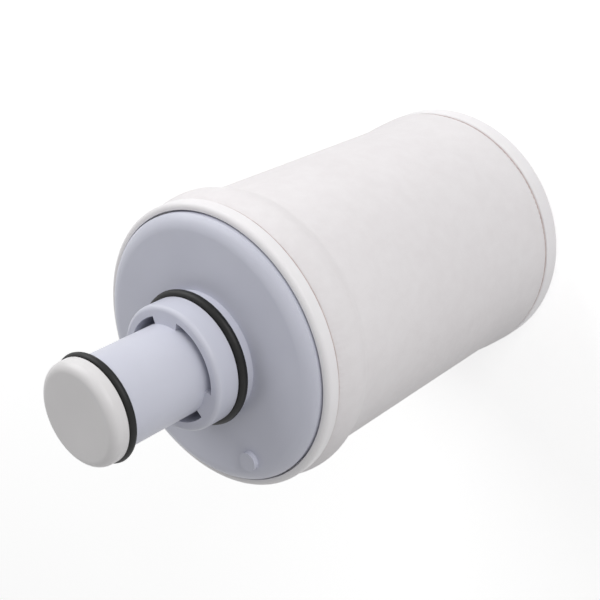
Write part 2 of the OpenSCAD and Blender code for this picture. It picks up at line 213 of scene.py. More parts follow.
def raise_bump(tree, shader, height, depth, strength=1.0, below=None):
    """Bump of that depth in metres, on top of another bump if one is given."""
    inputs = {"Height": height, "Distance": depth, "Strength": strength}
    if below:
        inputs["Normal"] = below
    bump = add_node(tree, "ShaderNodeBump", inputs).outputs["Normal"]
    tree.links.new(bump, shader.inputs["Normal"])
    return bump


def tint(tree, shader, colour):
    """Links a colour to the shader's base colour."""
    tree.links.new(colour, shader.inputs["Base Color"])


# %% [markdown]
# ## Floor and light
# The picture behind the cartridge is pure white. The floor is a pale grey that takes the
# shadow, and a share of plain white is added only for what the camera, gloss and glass see. The
# light is that of a photo tent: an even sky, a wide lamp from the side that shows as the upper
# side in the picture, one from the front, and a weak one that keeps the lower side open.

# %% Floor
FLOOR_TONE = 0.8
FLOOR_GLOW = 0.55
FLOOR_SIZE = 4.0


def seen_directly(tree):
    """1 for rays from the camera, from gloss and through glass, and 0 for light on the object."""
    path = add_node(tree, "ShaderNodeLightPath")
    camera_or_gloss = calculate(tree, "MAXIMUM", path.outputs["Is Camera Ray"],
                                path.outputs["Is Glossy Ray"])
    return calculate(tree, "MAXIMUM", camera_or_gloss, path.outputs["Is Transmission Ray"])


def floor_finish():
    """Pale matte floor with a share of white that only the camera, gloss and glass see."""
    material, tree, shader = new_finish("floor_pale", 0.9, Specular_IOR_Level=0.0)
    place = object_place(tree)
    mottle = noise(tree, place, 3.0)
    tint(tree, shader, two_tones(tree, mottle, (FLOOR_TONE,) * 3, (FLOOR_TONE + 0.02,) * 3))
    shader.inputs["Emission Color"].default_value = (1, 1, 1, 1)
    glow = calculate(tree, "MULTIPLY", seen_directly(tree), FLOOR_GLOW)
    tree.links.new(glow, shader.inputs["Emission Strength"])
    return material


floor_mesh = bpy.data.meshes.new("floor")
half = FLOOR_SIZE / 2
floor_corners = [(-half, -half, 0), (half, -half, 0), (half, half, 0), (-half, half, 0)]
floor_mesh.from_pydata(floor_corners, [], [(0, 1, 2, 3)])
floor_mesh.materials.append(floor_finish())
floor = bpy.data.objects.new("floor", floor_mesh)
bpy.context.scene.collection.objects.link(floor)
print("floor", FLOOR_SIZE, "m wide, tone", FLOOR_TONE)

# %% Sky
SKY_LEVEL = 0.36
SKY_SEEN = 1.0

world = bpy.data.worlds.new("tent")
bpy.context.scene.world = world
world.use_nodes = True
sky = world.node_tree.nodes["Background"]
sky.inputs["Color"].default_value = (1, 1, 1, 1)
sky_level = spread(world.node_tree, seen_directly(world.node_tree), 0, 1, SKY_LEVEL, SKY_SEEN)
world.node_tree.links.new(sky_level, sky.inputs["Strength"])
print("sky lights at", SKY_LEVEL, "and shows at", SKY_SEEN)

# %% Lamps
LAMPS_AIM_AT = Vector((0, 0, 0.12))


def soft_lamp(name, azimuth, height, distance, width, share):
    """A square lamp that lights a wall facing it at that share of a plain level."""
    lamp_data = bpy.data.lights.new(name, "AREA")
    lamp_data.size = width
    lamp_data.energy = share * math.pi ** 2 * distance ** 2
    lamp = bpy.data.objects.new(name, lamp_data)
    bpy.context.scene.collection.objects.link(lamp)
    turn = math.radians(azimuth)
    flat = math.sqrt(distance ** 2 - height ** 2)
    lamp.location = LAMPS_AIM_AT + Vector((math.cos(turn) * flat, math.sin(turn) * flat, height))
    lamp.rotation_euler = (LAMPS_AIM_AT - lamp.location).to_track_quat("-Z", "Y").to_euler()
    return lamp


soft_lamp("side_lamp", 5, 0.4, 1.2, 0.9, 0.52)
soft_lamp("front_lamp", -80, 0.2, 1.3, 0.9, 0.49)
soft_lamp("low_lamp", -160, 0.2, 1.3, 0.9, 0.08)

# %% [markdown]
# ## Turned shapes
# Caps, plate, tip and rubber rings are round about one axis. Each is drawn as half a section in
# (radius, height) and turned about Z, as a lathe would. The turned mesh is closed, so its faces
# can be set to point outwards in one go. A Bevel modifier then rounds what a mould can't leave
# sharp. Where two roundings meet on a thin edge, Weld closes them into one line. Weighted Normal
# keeps the large flat faces flat in the light.

# %% Helpers for turned shapes
TURN_STEPS = 360


def arc(centre, radius, start, end, steps=8):
    """Points along an arc of the half section, from one angle to another in degrees."""
    points = []
    for i in range(steps + 1):
        angle = math.radians(start + (end - start) * i / steps)
        points.append((centre[0] + radius * math.cos(angle), centre[1] + radius * math.sin(angle)))
    return points


def new_piece(name, mesh):
    """A new object at the origin that holds the mesh."""
    piece = bpy.data.objects.new(name, mesh)
    bpy.context.scene.collection.objects.link(piece)
    return piece


def turned(name, outline, steps=TURN_STEPS):
    """Turns a closed half section about Z. Points on the axis become one pole each."""
    shape = bmesh.new()
    rows = []
    for r, z in outline:
        if r < 1e-7:
            pole = shape.verts.new((0, 0, z))
            rows.append([pole] * steps)
            continue
        angles = [2 * math.pi * i / steps for i in range(steps)]
        rows.append([shape.verts.new((r * math.cos(a), r * math.sin(a), z)) for a in angles])
    for low, high in zip(rows, rows[1:] + rows[:1]):
        for i in range(steps):
            j = (i + 1) % steps
            corners = list(dict.fromkeys([low[i], low[j], high[j], high[i]]))
            if len(corners) > 2:
                shape.faces.new(corners)
    return closed_piece(name, shape)


def closed_piece(name, shape):
    """Makes an object of a closed bmesh, with its faces pointing outwards."""
    bmesh.ops.recalc_face_normals(shape, faces=shape.faces)
    mesh = bpy.data.meshes.new(name)
    shape.to_mesh(mesh)
    shape.free()
    return new_piece(name, mesh)


def settle(piece):
    """Turns the piece and its modifiers into one plain mesh."""
    evaluated = piece.evaluated_get(bpy.context.evaluated_depsgraph_get())
    mesh = bpy.data.meshes.new_from_object(evaluated)
    piece.modifiers.clear()
    piece.data = mesh
    mesh.name = piece.name
    return piece


def round_edges(piece, width=edge_round, segments=3):
    """Rounds the sharp edges, shades the piece smooth and keeps flat faces flat."""
    bevel = piece.modifiers.new("rounding", "BEVEL")
    bevel.width = width
    bevel.segments = segments
    bevel.limit_method = "ANGLE"
    bevel.angle_limit = math.radians(30)
    bevel.use_clamp_overlap = True
    weld = piece.modifiers.new("meeting rounds", "WELD")
    weld.merge_threshold = weld_gap
    piece.data.shade_smooth()
    weighted = piece.modifiers.new("flat faces", "WEIGHTED_NORMAL")
    weighted.weight = 50
    settle(piece)
    print(piece.name, "has", len(piece.data.polygons), "faces")
    return piece


def dress(piece, finish, slot, *replaced):
    """Gives the piece its finish and its place on the body, and hides the CAD nodes it stands for."""
    piece.data.materials.clear()
    piece.data.materials.append(finish)
    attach(piece, "root")
    if replaced:
        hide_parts(*replaced)
    return piece


# %% [markdown]
# ## White satin plastic
# The caps are moulded in a white plastic with a satin face. Such a face is never one flat
# colour: it has a slow drift of tone from the melt and a fine spark-eroded grain of a few
# hundredths of a millimetre, which breaks up the gloss.

# %% Cap plastic
def moulded_plastic(name, dark, light, roughness, grain=0.02 * MM):
    """Satin moulded plastic: slow drift of tone, fine grain and uneven gloss."""
    material, tree, shader = new_finish(name, roughness, IOR=1.49, Specular_IOR_Level=0.4)
    place = object_place(tree)
    drift = noise(tree, place, 22, detail=3)
    tint(tree, shader, two_tones(tree, spread(tree, drift, 0.35, 0.65, 0, 1), dark, light))
    smears = noise(tree, object_place(tree, stretch=(1, 1, 0.35)), 90, detail=5)
    gloss = spread(tree, smears, 0.3, 0.7, roughness - 0.06, roughness + 0.06)
    tree.links.new(gloss, shader.inputs["Roughness"])
    fine = noise(tree, place, 2600, detail=2)
    slow = noise(tree, place, 60, detail=1)
    waves = raise_bump(tree, shader, slow, 0.12 * MM, 0.5)
    raise_bump(tree, shader, fine, grain, 0.6, below=waves)
    return material


cap_plastic = moulded_plastic("cap_plastic", (0.84, 0.82, 0.835), (0.88, 0.865, 0.875), 0.42)

# %% [markdown]
# ## Near cap
# The near cap is a ring. Its lip stands round the base plate, its floor carries the plate, and
# its skirt lies under the cover. Only the lip and the rim show, but the whole section is
# turned, so the piece has the true form of the CAD node that it stands for.

# %% Near cap
lip_r = rim_r - lip_wall
seat_z = lip_z - seat_drop
floor_z = seat_z - near_floor
ledge_r = rim_r - cover_wall - 0.1 * MM


def flare(base_r, distance):
    """Radius of the flared body at that distance into the flare."""
    return base_r + cove_r - math.sqrt(cove_r ** 2 - distance ** 2)


def skirt(z_seam, side):
    """Outline of a cap's skirt from its seam to its free edge: side is -1 below and 1 above."""
    steps = 6
    points = []
    for i in range(steps + 1):
        along = skirt_length * i / steps
        points.append((flare(skirt_in_r, flare_length - along), z_seam + side * along))
    return points


near_outline = [(core_bore_r, seat_z), (lip_r, seat_z), (lip_r, lip_z)]
near_outline += arc((rim_r - lip_round, lip_z - lip_round), lip_round, 90, 0, 10)
near_outline += arc((rim_r - seam_round, seam_high + bead_height + seam_round), seam_round, 0, -90, 5)
near_outline += [(ledge_r, seam_high + bead_height)]
near_outline += skirt(seam_high, -1)
near_outline += [(skirt_in_r, seam_high - skirt_length), (skirt_in_r, floor_z), (core_bore_r, floor_z)]
near_cap = round_edges(turned("near_cap_shell", near_outline))
dress(near_cap, cap_plastic, "cap_plastic", "near_cap")

# %% [markdown]
# ## Far cap
# The far cap closes the other end. It stands on a narrow ring round a shallow panel, and inside
# it has the socket for the rubber foot of the lamp's sleeve.

# %% Far cap
foot_socket_r = 12.5 * MM
foot_socket_wall = 2 * MM
foot_socket_z = 10.2 * MM

far_outline = [(0, panel_depth), (panel_r, panel_depth), (panel_r, 0)]
far_outline += arc((rim_r - foot_round, foot_round), foot_round, -90, 0, 12)
far_outline += arc((rim_r - seam_round, seam_low - bead_height - seam_round), seam_round, 0, 90, 5)
far_outline += [(ledge_r, seam_low - bead_height)]
far_outline += skirt(seam_low, 1)
far_outline += [(skirt_in_r, seam_low + skirt_length), (skirt_in_r, far_floor)]
far_outline += [(foot_socket_r + foot_socket_wall, far_floor)]
far_outline += [(foot_socket_r + foot_socket_wall, foot_socket_z), (foot_socket_r, foot_socket_z)]
far_outline += [(foot_socket_r, far_floor), (0, far_floor)]
far_cap = round_edges(turned("far_cap_shell", far_outline))
dress(far_cap, cap_plastic, "cap_plastic", "far_cap")

# %% [markdown]
# ## Base plate
# The base plate, its collar and the nozzle tube are one moulding. Three arc slots between tube
# and collar let the water out, and three bridges hold the tube. A boolean cut would leave
# slivers where round faces meet, so the slots are built column by column instead: each degree
# round the axis gets its strip of faces, and in a slot the strip has the two facing walls, while
# on a bridge it has a top and an underside. The result is all clean four-sided faces, which the
# Bevel modifier can round evenly.

# %% Sizes of the base plate
plate_wall = 2.6 * MM
plate_proud = 4.4 * MM
shoulder_width = 6.5 * MM
shoulder_round = 8 * MM
collar_r = frame["record"]["mounts"][1]["dims"]["r_mm"] * MM
collar_bore_r = 22.6 * MM
collar_height = 23.6 * MM
collar_round = 2.2 * MM
groove_r = 25.1 * MM
groove_low = 8.3 * MM
groove_high = 12.9 * MM
tube_r = 19.3 * MM
tube_wall = 2 * MM
land_r = 20.1 * MM
land_height = 1.5 * MM
shelf_r = 14.2 * MM
shelf_height = 2.6 * MM
bridge_angle = 34
bridge_turn = -32
bridge_count = 3

face_z = lip_z + plate_proud
collar_z = lip_z + collar_height
tube_in_r = tube_r - tube_wall
print("plate face at", round(face_z / MM, 1), "mm and collar front at", round(collar_z / MM, 1), "mm")

# %% Section of the base plate, as two outlines that meet at the bridges
shoulder_in_r = plate_r - shoulder_width
arc_z = face_z - shoulder_round
arc_end = math.degrees(math.acos(shoulder_width / shoulder_round))
under_round = shoulder_round - plate_wall
under_end = math.degrees(math.acos((shoulder_width - plate_wall) / under_round))
ring_r = collar_bore_r + plate_wall

tube_outline = [(tube_r, seat_z), (tube_r, collar_z), (tube_r, tube_z1 - land_height)]
tube_outline += [(land_r, tube_z1 - land_height), (land_r, tube_z1), (tube_in_r, tube_z1)]
tube_outline += [(tube_in_r, tube_z0 + shelf_height), (shelf_r, tube_z0 + shelf_height)]
tube_outline += [(shelf_r, tube_z0), (tube_r, tube_z0)]

shell_outline = [(collar_bore_r, collar_z), (collar_bore_r, seat_z), (ring_r, seat_z)]
shell_outline += [(ring_r, face_z - plate_wall)]
shell_outline += arc((shoulder_in_r, arc_z), under_round, 90, under_end, 8)
shell_outline += [(plate_r - plate_wall, seat_z), (plate_r, seat_z)]
shell_outline += arc((shoulder_in_r, arc_z), shoulder_round, arc_end, 90, 12)
shell_outline += [(collar_r, face_z), (collar_r, lip_z + groove_low), (groove_r, lip_z + groove_low)]
shell_outline += [(groove_r, lip_z + groove_high), (collar_r, lip_z + groove_high)]
shell_outline += arc((collar_r - collar_round, collar_z - collar_round), collar_round, 0, 90, 6)

# %% Base plate built column by column
def on_bridge(degree):
    """True where the column that starts at that degree belongs to a bridge."""
    step = 360 / bridge_count
    offset = (degree + 0.5 - bridge_turn + step / 2) % step - step / 2
    return abs(offset) < bridge_angle / 2


def slotted_moulding(name):
    """Turns both outlines. The first edge of each outline is its wall inside the slots."""
    shape = bmesh.new()

    def column(outline, degree):
        angle = math.radians(degree)
        return [shape.verts.new((r * math.cos(angle), r * math.sin(angle), z)) for r, z in outline]

    tube_rows = [column(tube_outline, degree) for degree in range(360)]
    shell_rows = [column(shell_outline, degree) for degree in range(360)]
    for i in range(360):
        j = (i + 1) % 360
        for rows in (tube_rows, shell_rows):
            count = len(rows[i])
            first = 1 if on_bridge(i) else 0
            for k in range(first, count):
                m = (k + 1) % count
                shape.faces.new([rows[i][k], rows[j][k], rows[j][m], rows[i][m]])
        if on_bridge(i):
            shape.faces.new([tube_rows[i][1], tube_rows[j][1], shell_rows[j][0], shell_rows[i][0]])
            shape.faces.new([tube_rows[i][0], tube_rows[j][0], shell_rows[j][1], shell_rows[i][1]])
        if on_bridge(i) != on_bridge(i - 1):
            shape.faces.new([tube_rows[i][0], tube_rows[i][1], shell_rows[i][0], shell_rows[i][1]])
    return closed_piece(name, shape)


base_plate = slotted_moulding("base_plate_moulding")
print("bridge columns:", sum(on_bridge(i) for i in range(360)))

# %% [markdown]
# The small round boss on the plate and the ribs under it are joined on with Boolean modifiers,
# because they meet flat faces where a union is clean.

# %% Boss and ribs
boss_r = 4.2 * MM
boss_height = 2.2 * MM
boss_inset = 9.9 * MM
boss_angle = 174
rib_count = 6
rib_wall = 2 * MM
root = 0.5 * MM


def boss_shape():
    """The round boss, sunk a little into the plate."""
    shape = bmesh.new()
    bmesh.ops.create_cone(shape, cap_ends=True, segments=64, radius1=boss_r, radius2=boss_r,
                          depth=boss_height + root)
    angle = math.radians(boss_angle)
    at = plate_r - boss_inset
    middle = face_z + (boss_height - root) / 2
    bmesh.ops.translate(shape, verts=shape.verts, vec=(at * math.cos(angle), at * math.sin(angle), middle))
    return closed_piece("boss_tool", shape)


def rib_shape(degree):
    """One rib under the plate, from the collar's wall to the plate's edge."""
    shape = bmesh.new()
    bmesh.ops.create_cube(shape, size=1)
    inner = ring_r - root
    outer = plate_r - 1.1 * MM
    top = face_z - plate_wall + 0.1 * MM
    scale = (outer - inner, rib_wall, top - seat_z)
    bmesh.ops.scale(shape, verts=shape.verts, vec=scale)
    bmesh.ops.translate(shape, verts=shape.verts, vec=((inner + outer) / 2, 0, (top + seat_z) / 2))
    turn = Matrix.Rotation(math.radians(degree), 3, "Z")
    bmesh.ops.rotate(shape, verts=shape.verts, matrix=turn)
    return closed_piece("rib_tool", shape)


def join_shapes(piece, tools):
    """Unites the tools with the piece and removes them."""
    for tool in tools:
        union = piece.modifiers.new("union", "BOOLEAN")
        union.operation = "UNION"
        union.solver = "EXACT"
        union.object = tool
    settle(piece)
    for tool in tools:
        bpy.data.objects.remove(tool)


ribs = [rib_shape(360 * i / rib_count) for i in range(rib_count)]
join_shapes(base_plate, [boss_shape(), *ribs])
round_edges(base_plate)

# %% Plate plastic
plate_plastic = moulded_plastic("plate_plastic", (0.595, 0.605, 0.69), (0.63, 0.64, 0.725), 0.38)
dress(base_plate, plate_plastic, "plate_plastic", "base_plate")

# %% [markdown]
# ## Closed tip
# The tip plugs the tube. Its face has a soft edge and sinks very slightly in the middle, where
# the thick plastic over the coil shrank in the mould.

# %% Closed tip
tip_height = 7 * MM
tip_round = 3.8 * MM
tip_face = 2.6 * MM
neck_r = 19 * MM
spigot_height = 11.4 * MM
spigot_gap = 0.2 * MM
spigot_wall = 1.9 * MM
sink_r = 15 * MM
sink_depth = 0.25 * MM

tip_z0 = tip_z1 - tip_height
spigot_r = tube_in_r - spigot_gap


def sunk_face(steps=10):
    """Outline of the tip's face from its middle to the start of the edge rounding."""
    points = []
    for i in range(steps + 1):
        r = sink_r * i / steps
        points.append((r, tip_z1 - sink_depth * (1 - (r / sink_r) ** 2) ** 2))
    return points


tip_outline = sunk_face()
tip_outline += arc((tip_r - tip_round, tip_z1 - tip_round), tip_round, 90, 0, 10)
tip_outline += [(tip_r, tip_z0), (neck_r, tip_z0), (neck_r, tube_z1), (spigot_r, tube_z1)]
tip_outline += [(spigot_r, tube_z1 - spigot_height), (spigot_r - spigot_wall, tube_z1 - spigot_height)]
tip_outline += [(spigot_r - spigot_wall, tip_z1 - tip_face), (0, tip_z1 - tip_face)]
end_tip = round_edges(turned("closed_tip", tip_outline))

print("tip stands", round((tip_z1 - lip_z) / MM, 1), "mm above the lip")
tip_plastic = moulded_plastic("tip_plastic", (0.715, 0.70, 0.705), (0.755, 0.74, 0.745), 0.36)
dress(end_tip, tip_plastic, "tip_plastic", "end_cup")

# %% [markdown]
# ## Rubber rings
# Both rings are moulded in two halves, so a fine flash line runs round the outside and the
# inside. The section is a circle with that small ridge worked into its radius.

# %% Rubber rings
flash_height = 0.06 * MM
flash_width = 4.0


def ring_outline(node):
    """Section of a rubber ring that fills the box of its CAD node, with the flash line."""
    low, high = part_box(node)
    section_r = (high.z - low.z) / 2
    centre = (high.x - section_r, (low.z + high.z) / 2)
    points = []
    for degree in range(0, 360, 6):
        from_line = min(degree % 180, 180 - degree % 180)
        ridge = flash_height * math.exp(-(from_line / flash_width) ** 2)
        radius = section_r - flash_height + ridge
        angle = math.radians(degree)
        points.append((centre[0] + radius * math.cos(angle), centre[1] + radius * math.sin(angle)))
    return points


def soft_rubber(name, dark, light):
    """Rubber with a trace of bloom and a fine matte grain."""
    material, tree, shader = new_finish(name, 0.5, IOR=1.52, Specular_IOR_Level=0.25)
    place = object_place(tree)
    bloom = spread(tree, noise(tree, place, 120, detail=6, roughness=0.65), 0.45, 0.75, 0, 1)
    tint(tree, shader, two_tones(tree, bloom, dark, light))
    tree.links.new(spread(tree, bloom, 0, 1, 0.42, 0.58), shader.inputs["Roughness"])
    raise_bump(tree, shader, noise(tree, place, 1800, detail=3), 0.03 * MM, 0.5)
    return material


seal_rubber = soft_rubber("seal_rubber", (0.006, 0.006, 0.006), (0.016, 0.016, 0.016))
for node, name in (("collar_seal", "large_ring"), ("tip_seal", "small_ring")):
    rubber_ring = turned(name, ring_outline(node))
    rubber_ring.data.shade_smooth()
    dress(rubber_ring, seal_rubber, "seal_rubber", node)
print("rings turned with", len(ring_outline("tip_seal")), "points in the section")

# %% [markdown]
# ## Soft cover
# The cover is a sleeve of white non-woven cloth. It is straight in the middle and flares out over
# both skirts, swells where it leaves the near seam, and is gathered a little where the glue holds
# its edges. Such a shape follows a rule: the radius depends only on the height and the direction.
# Geometry Nodes state that rule once, on a plain grid. Its rows run up the outer face, over the
# edge, down the inner face and back, so the rolled grid closes into a sleeve with a real wall.

# %% A small helper for arithmetic on fields
class Field:
    """A value in a geometry node tree that can be added, multiplied and so on."""

    def __init__(self, tree, socket):
        self.tree = tree
        self.socket = socket

    def step(self, operation, other=None, third=None):
        math_node = self.tree.nodes.new("ShaderNodeMath")
        math_node.operation = operation
        for index, value in enumerate((self, other, third)):
            if isinstance(value, Field):
                self.tree.links.new(value.socket, math_node.inputs[index])
            elif value is not None:
                math_node.inputs[index].default_value = value
        return Field(self.tree, math_node.outputs[0])

    def __add__(self, other):
        return self.step("ADD", other)

    def __sub__(self, other):
        return self.step("SUBTRACT", other)

    def __mul__(self, other):
        return self.step("MULTIPLY", other)

    def __truediv__(self, other):
        return self.step("DIVIDE", other)


def start_tree(name, sizes, counts=()):
    """A geometry node tree with named inputs for sizes, whole numbers and the finish."""
    tree = bpy.data.node_groups.new(name, "GeometryNodeTree")
    tree.interface.new_socket("Geometry", in_out="INPUT", socket_type="NodeSocketGeometry")
    tree.interface.new_socket("Geometry", in_out="OUTPUT", socket_type="NodeSocketGeometry")
    for size in sizes:
        tree.interface.new_socket(size, in_out="INPUT", socket_type="NodeSocketFloat")
    for count in counts:
        tree.interface.new_socket(count, in_out="INPUT", socket_type="NodeSocketInt")
    tree.interface.new_socket("Finish", in_out="INPUT", socket_type="NodeSocketMaterial")
    entry = tree.nodes.new("NodeGroupInput")
    fields = {s: Field(tree, entry.outputs[s]) for s in (*sizes, *counts, "Finish")}
    return tree, fields


def end_tree(tree, geometry, fields):
    """Closes a tree with Realize Instances and Set Material."""
    real = add_node(tree, "GeometryNodeRealizeInstances", {"Geometry": geometry})
    inputs = {"Geometry": real.outputs[0], "Material": fields["Finish"].socket}
    painted = add_node(tree, "GeometryNodeSetMaterial", inputs)
    tree.links.new(painted.outputs[0], tree.nodes.new("NodeGroupOutput").inputs[0])


def grown(name, tree, **values):
    """A piece made by a geometry node tree, as one plain mesh."""
    piece = new_piece(name, bpy.data.meshes.new(name))
    modifier = piece.modifiers.new(tree.name, "NODES")
    modifier.node_group = tree
    for item in tree.interface.items_tree:
        key = item.name.replace(" ", "_")
        if item.in_out == "INPUT" and key in values:
            modifier[item.identifier] = values[key]
    return settle(piece)


def set_place(tree, geometry, x, y, z):
    """Moves each point to the place that three fields give."""
    place = add_node(tree, "ShaderNodeCombineXYZ", {"X": x.socket, "Y": y.socket, "Z": z.socket})
    inputs = {"Geometry": geometry, "Position": place.outputs[0]}
    return add_node(tree, "GeometryNodeSetPosition", inputs).outputs[0]


def grid_shares(tree):
    """How far each point of a unit grid is along X and along Y, from 0 to 1."""
    position = tree.nodes.new("GeometryNodeInputPosition").outputs[0]
    parts = add_node(tree, "ShaderNodeSeparateXYZ", {0: position}).outputs
    return Field(tree, parts["X"]) + 0.5, Field(tree, parts["Y"]) + 0.5


def field_noise(tree, x, y, z, per_unit, detail=2.0):
    """Noise from -0.5 to 0.5 at a place that three fields give."""
    place = add_node(tree, "ShaderNodeCombineXYZ", {"X": x.socket, "Y": y.socket, "Z": z.socket})
    inputs = {"Vector": place.outputs[0], "Scale": per_unit, "Detail": detail}
    return Field(tree, add_node(tree, "ShaderNodeTexNoise", inputs).outputs["Fac"]) - 0.5


# %% Tree of the soft sleeve
CROWDING = 0.8
LAP_SLOPE = 0.4 * MM


def sleeve_tree():
    """A closed sleeve of cloth: outer face, rolled edge, inner face and rolled edge again."""
    sizes = ("Radius", "Low", "High", "Wall", "Flare", "Flare length", "Near bulge", "Far bulge",
             "Tuck", "Tuck length", "Hill", "Dimple", "Gather", "Lap height", "Lap width",
             "Lap direction")
    counts = ("Around", "Along", "Edge", "Inside", "Gathers", "Seed")
    tree, size = start_tree("soft sleeve", sizes, counts)
    rows = size["Along"] + size["Inside"] + size["Edge"] * 2
    grid = tree.nodes.new("GeometryNodeMeshGrid")
    tree.links.new((size["Around"] + 1).socket, grid.inputs["Vertices X"])
    tree.links.new((rows + 1).socket, grid.inputs["Vertices Y"])
    around, share = grid_shares(tree)
    row = share * rows
    angle = (around - 0.5) * (2 * math.pi)
    turned_angle = angle + size["Lap direction"]
    wide = turned_angle.step("COSINE")
    deep = turned_angle.step("SINE")

    def part(first, count):
        """How far the row is through one of the four parts, from 0 to 1."""
        return ((row - first) / count).step("MAXIMUM", 0.0).step("MINIMUM", 1.0)

    outside = part(0.0, size["Along"])
    over = part(size["Along"], size["Edge"])
    inside = part(size["Along"] + size["Edge"], size["Inside"])
    back = part(size["Along"] + size["Edge"] + size["Inside"], size["Edge"])
    depth = over - back
    outer = depth * -1 + 1
    crowded = outside - (outside * (2 * math.pi)).step("SINE") * (CROWDING / (2 * math.pi))
    z = size["Low"] + (size["High"] - size["Low"]) * (crowded - inside)

    below = (size["Low"] + size["Flare length"] - z).step("MAXIMUM", 0.0)
    above = (z - size["High"] + size["Flare length"]).step("MAXIMUM", 0.0)
    distance = below + above
    square = size["Flare length"] * size["Flare length"] + size["Flare"] * size["Flare"]
    cove = square / (size["Flare"] * 2)
    rise = cove - (cove * cove - distance * distance).step("SQRT")
    near_edge = distance / size["Flare length"]
    free = near_edge * -1 + 1

    def swelling(from_seam, height):
        """The cloth swells out past the seam and is back on the body where the flare ends."""
        t = (from_seam / size["Flare length"]).step("MAXIMUM", 0.0).step("MINIMUM", 1.0)
        return (t * (t * -1 + 1) * 4).step("POWER", 1.5) * height

    bulge = swelling(size["High"] - z, size["Near bulge"])
    bulge = bulge + swelling(z - size["Low"], size["Far bulge"])

    x = wide * size["Radius"]
    y = deep * size["Radius"]
    seeded = z + size["Seed"]
    hills = field_noise(tree, x, y, seeded * 0.5, 28.0) * size["Hill"]
    dimples = field_noise(tree, x, y, seeded, 110.0, 3.0) * size["Dimple"]
    slack = (hills + dimples) * (free * 0.8 + 0.2)

    patch = field_noise(tree, x, y, seeded, 40.0, 1.0) * 5.0 + 0.6
    patch = patch.step("MAXIMUM", 0.1).step("MINIMUM", 1.0)
    wander = field_noise(tree, x, y, seeded, 120.0) * 4.0
    ripple = (angle * size["Gathers"] + wander).step("SINE") - 1.0
    gathers = ripple * size["Gather"] * near_edge.step("POWER", 6.0) * patch

    from_lap = angle.step("ABSOLUTE") * size["Radius"]
    lap = (size["Lap width"] * 0.5 - from_lap) / LAP_SLOPE
    lap = lap.step("MAXIMUM", 0.0).step("MINIMUM", 1.0) * size["Lap height"] * free

    to_edge = (z - size["Low"]).step("MINIMUM", size["High"] - z)
    rolled = (to_edge / size["Tuck length"] * -1 + 1).step("MAXIMUM", 0.0)
    tuck = rolled.step("POWER", 2.2) * size["Tuck"]

    face = slack + gathers + lap - tuck
    radius = size["Radius"] + rise + bulge + face * outer - size["Wall"] * depth
    tube = set_place(tree, grid.outputs["Mesh"], radius * wide, radius * deep, z)
    joined = add_node(tree, "GeometryNodeMergeByDistance", {"Geometry": tube, "Distance": 0.000002})
    end_tree(tree, joined.outputs[0], size)
    return tree


# %% [markdown]
# The white cloth is non-woven: a web of fine fibres pressed together, without warp or weft. Two
# layers of cell edges, bent by noise, make the web, and a slow cloud of thicker and thinner
# fibre gives it the uneven white of such cloth. The lap where the sheet meets itself is pressed
# in short bars, as a welded edge is.

# %% Cloth of the cover
LAP_DIRECTION = math.radians(105)
LAP_WIDTH = 6 * MM
WELD_PITCH = 1.6 * MM


def fibre_web(tree, place, per_metre, thickness):
    """Fine bent fibres: 1 on a fibre and 0 between them."""
    bend = add_node(tree, "ShaderNodeTexNoise", {"Vector": place, "Scale": per_metre * 0.7})
    pulled = add_node(tree, "ShaderNodeVectorMath",
                      {0: bend.outputs["Color"], 3: 0.9 / per_metre}, operation="SCALE")
    bent = add_node(tree, "ShaderNodeVectorMath", {0: place, 1: pulled.outputs[0]}, operation="ADD")
    cells = add_node(tree, "ShaderNodeTexVoronoi", {"Vector": bent.outputs[0], "Scale": per_metre},
                     feature="DISTANCE_TO_EDGE")
    return spread(tree, cells.outputs["Distance"], 0, thickness, 1, 0)


def cover_cloth_finish():
    """Soft white non-woven cloth with a pressed weld along its lap."""
    material, tree, shader = new_finish("cover_cloth", 0.92, Specular_IOR_Level=0.25,
                                        Sheen_Weight=0.12, Sheen_Roughness=0.5)
    place = object_place(tree)
    cloud = spread(tree, noise(tree, place, 160, detail=6, roughness=0.6), 0.35, 0.65, 0, 1)
    drift = spread(tree, noise(tree, place, 14, detail=2), 0.35, 0.65, 0, 1)
    tone = calculate(tree, "ADD", calculate(tree, "MULTIPLY", cloud, 0.55),
                     calculate(tree, "MULTIPLY", drift, 0.45))
    tint(tree, shader, two_tones(tree, tone, (0.80, 0.77, 0.78), (0.84, 0.815, 0.825)))

    coarse = fibre_web(tree, place, 900, 0.25)
    fine = fibre_web(tree, object_place(tree, turn=(0.4, 0.7, 0.2)), 1700, 0.3)
    web = calculate(tree, "MAXIMUM", coarse, calculate(tree, "MULTIPLY", fine, 0.7))
    parts = add_node(tree, "ShaderNodeSeparateXYZ", {0: place}).outputs
    turn = calculate(tree, "ARCTAN2", parts["Y"], parts["X"])
    aside = calculate(tree, "ABSOLUTE", calculate(tree, "SUBTRACT", turn, LAP_DIRECTION))
    on_lap = spread(tree, calculate(tree, "MULTIPLY", aside, body_r), LAP_WIDTH * 0.3,
                    LAP_WIDTH * 0.34, 1, 0)
    bars = calculate(tree, "SINE", calculate(tree, "MULTIPLY", parts["Z"], 2 * math.pi / WELD_PITCH))
    weld = calculate(tree, "MULTIPLY", spread(tree, bars, -0.3, 0.3, 0, 1), on_lap)
    soft = raise_bump(tree, shader, cloud, 0.08 * MM, 0.6)
    pressed = raise_bump(tree, shader, calculate(tree, "SUBTRACT", 1.0, weld), 0.12 * MM, 1.0, below=soft)
    raise_bump(tree, shader, web, 0.05 * MM, 0.5, below=pressed)
    return material


cover_cloth = cover_cloth_finish()

# %% Soft cover from the tree
HILL = 0.22 * MM
DIMPLE = 0.10 * MM
GATHER = 0.12 * MM
TUCK = 0.8 * MM
TUCK_LENGTH = 2.2 * MM
NEAR_BULGE = 2.9 * MM
FAR_BULGE = 0.6 * MM

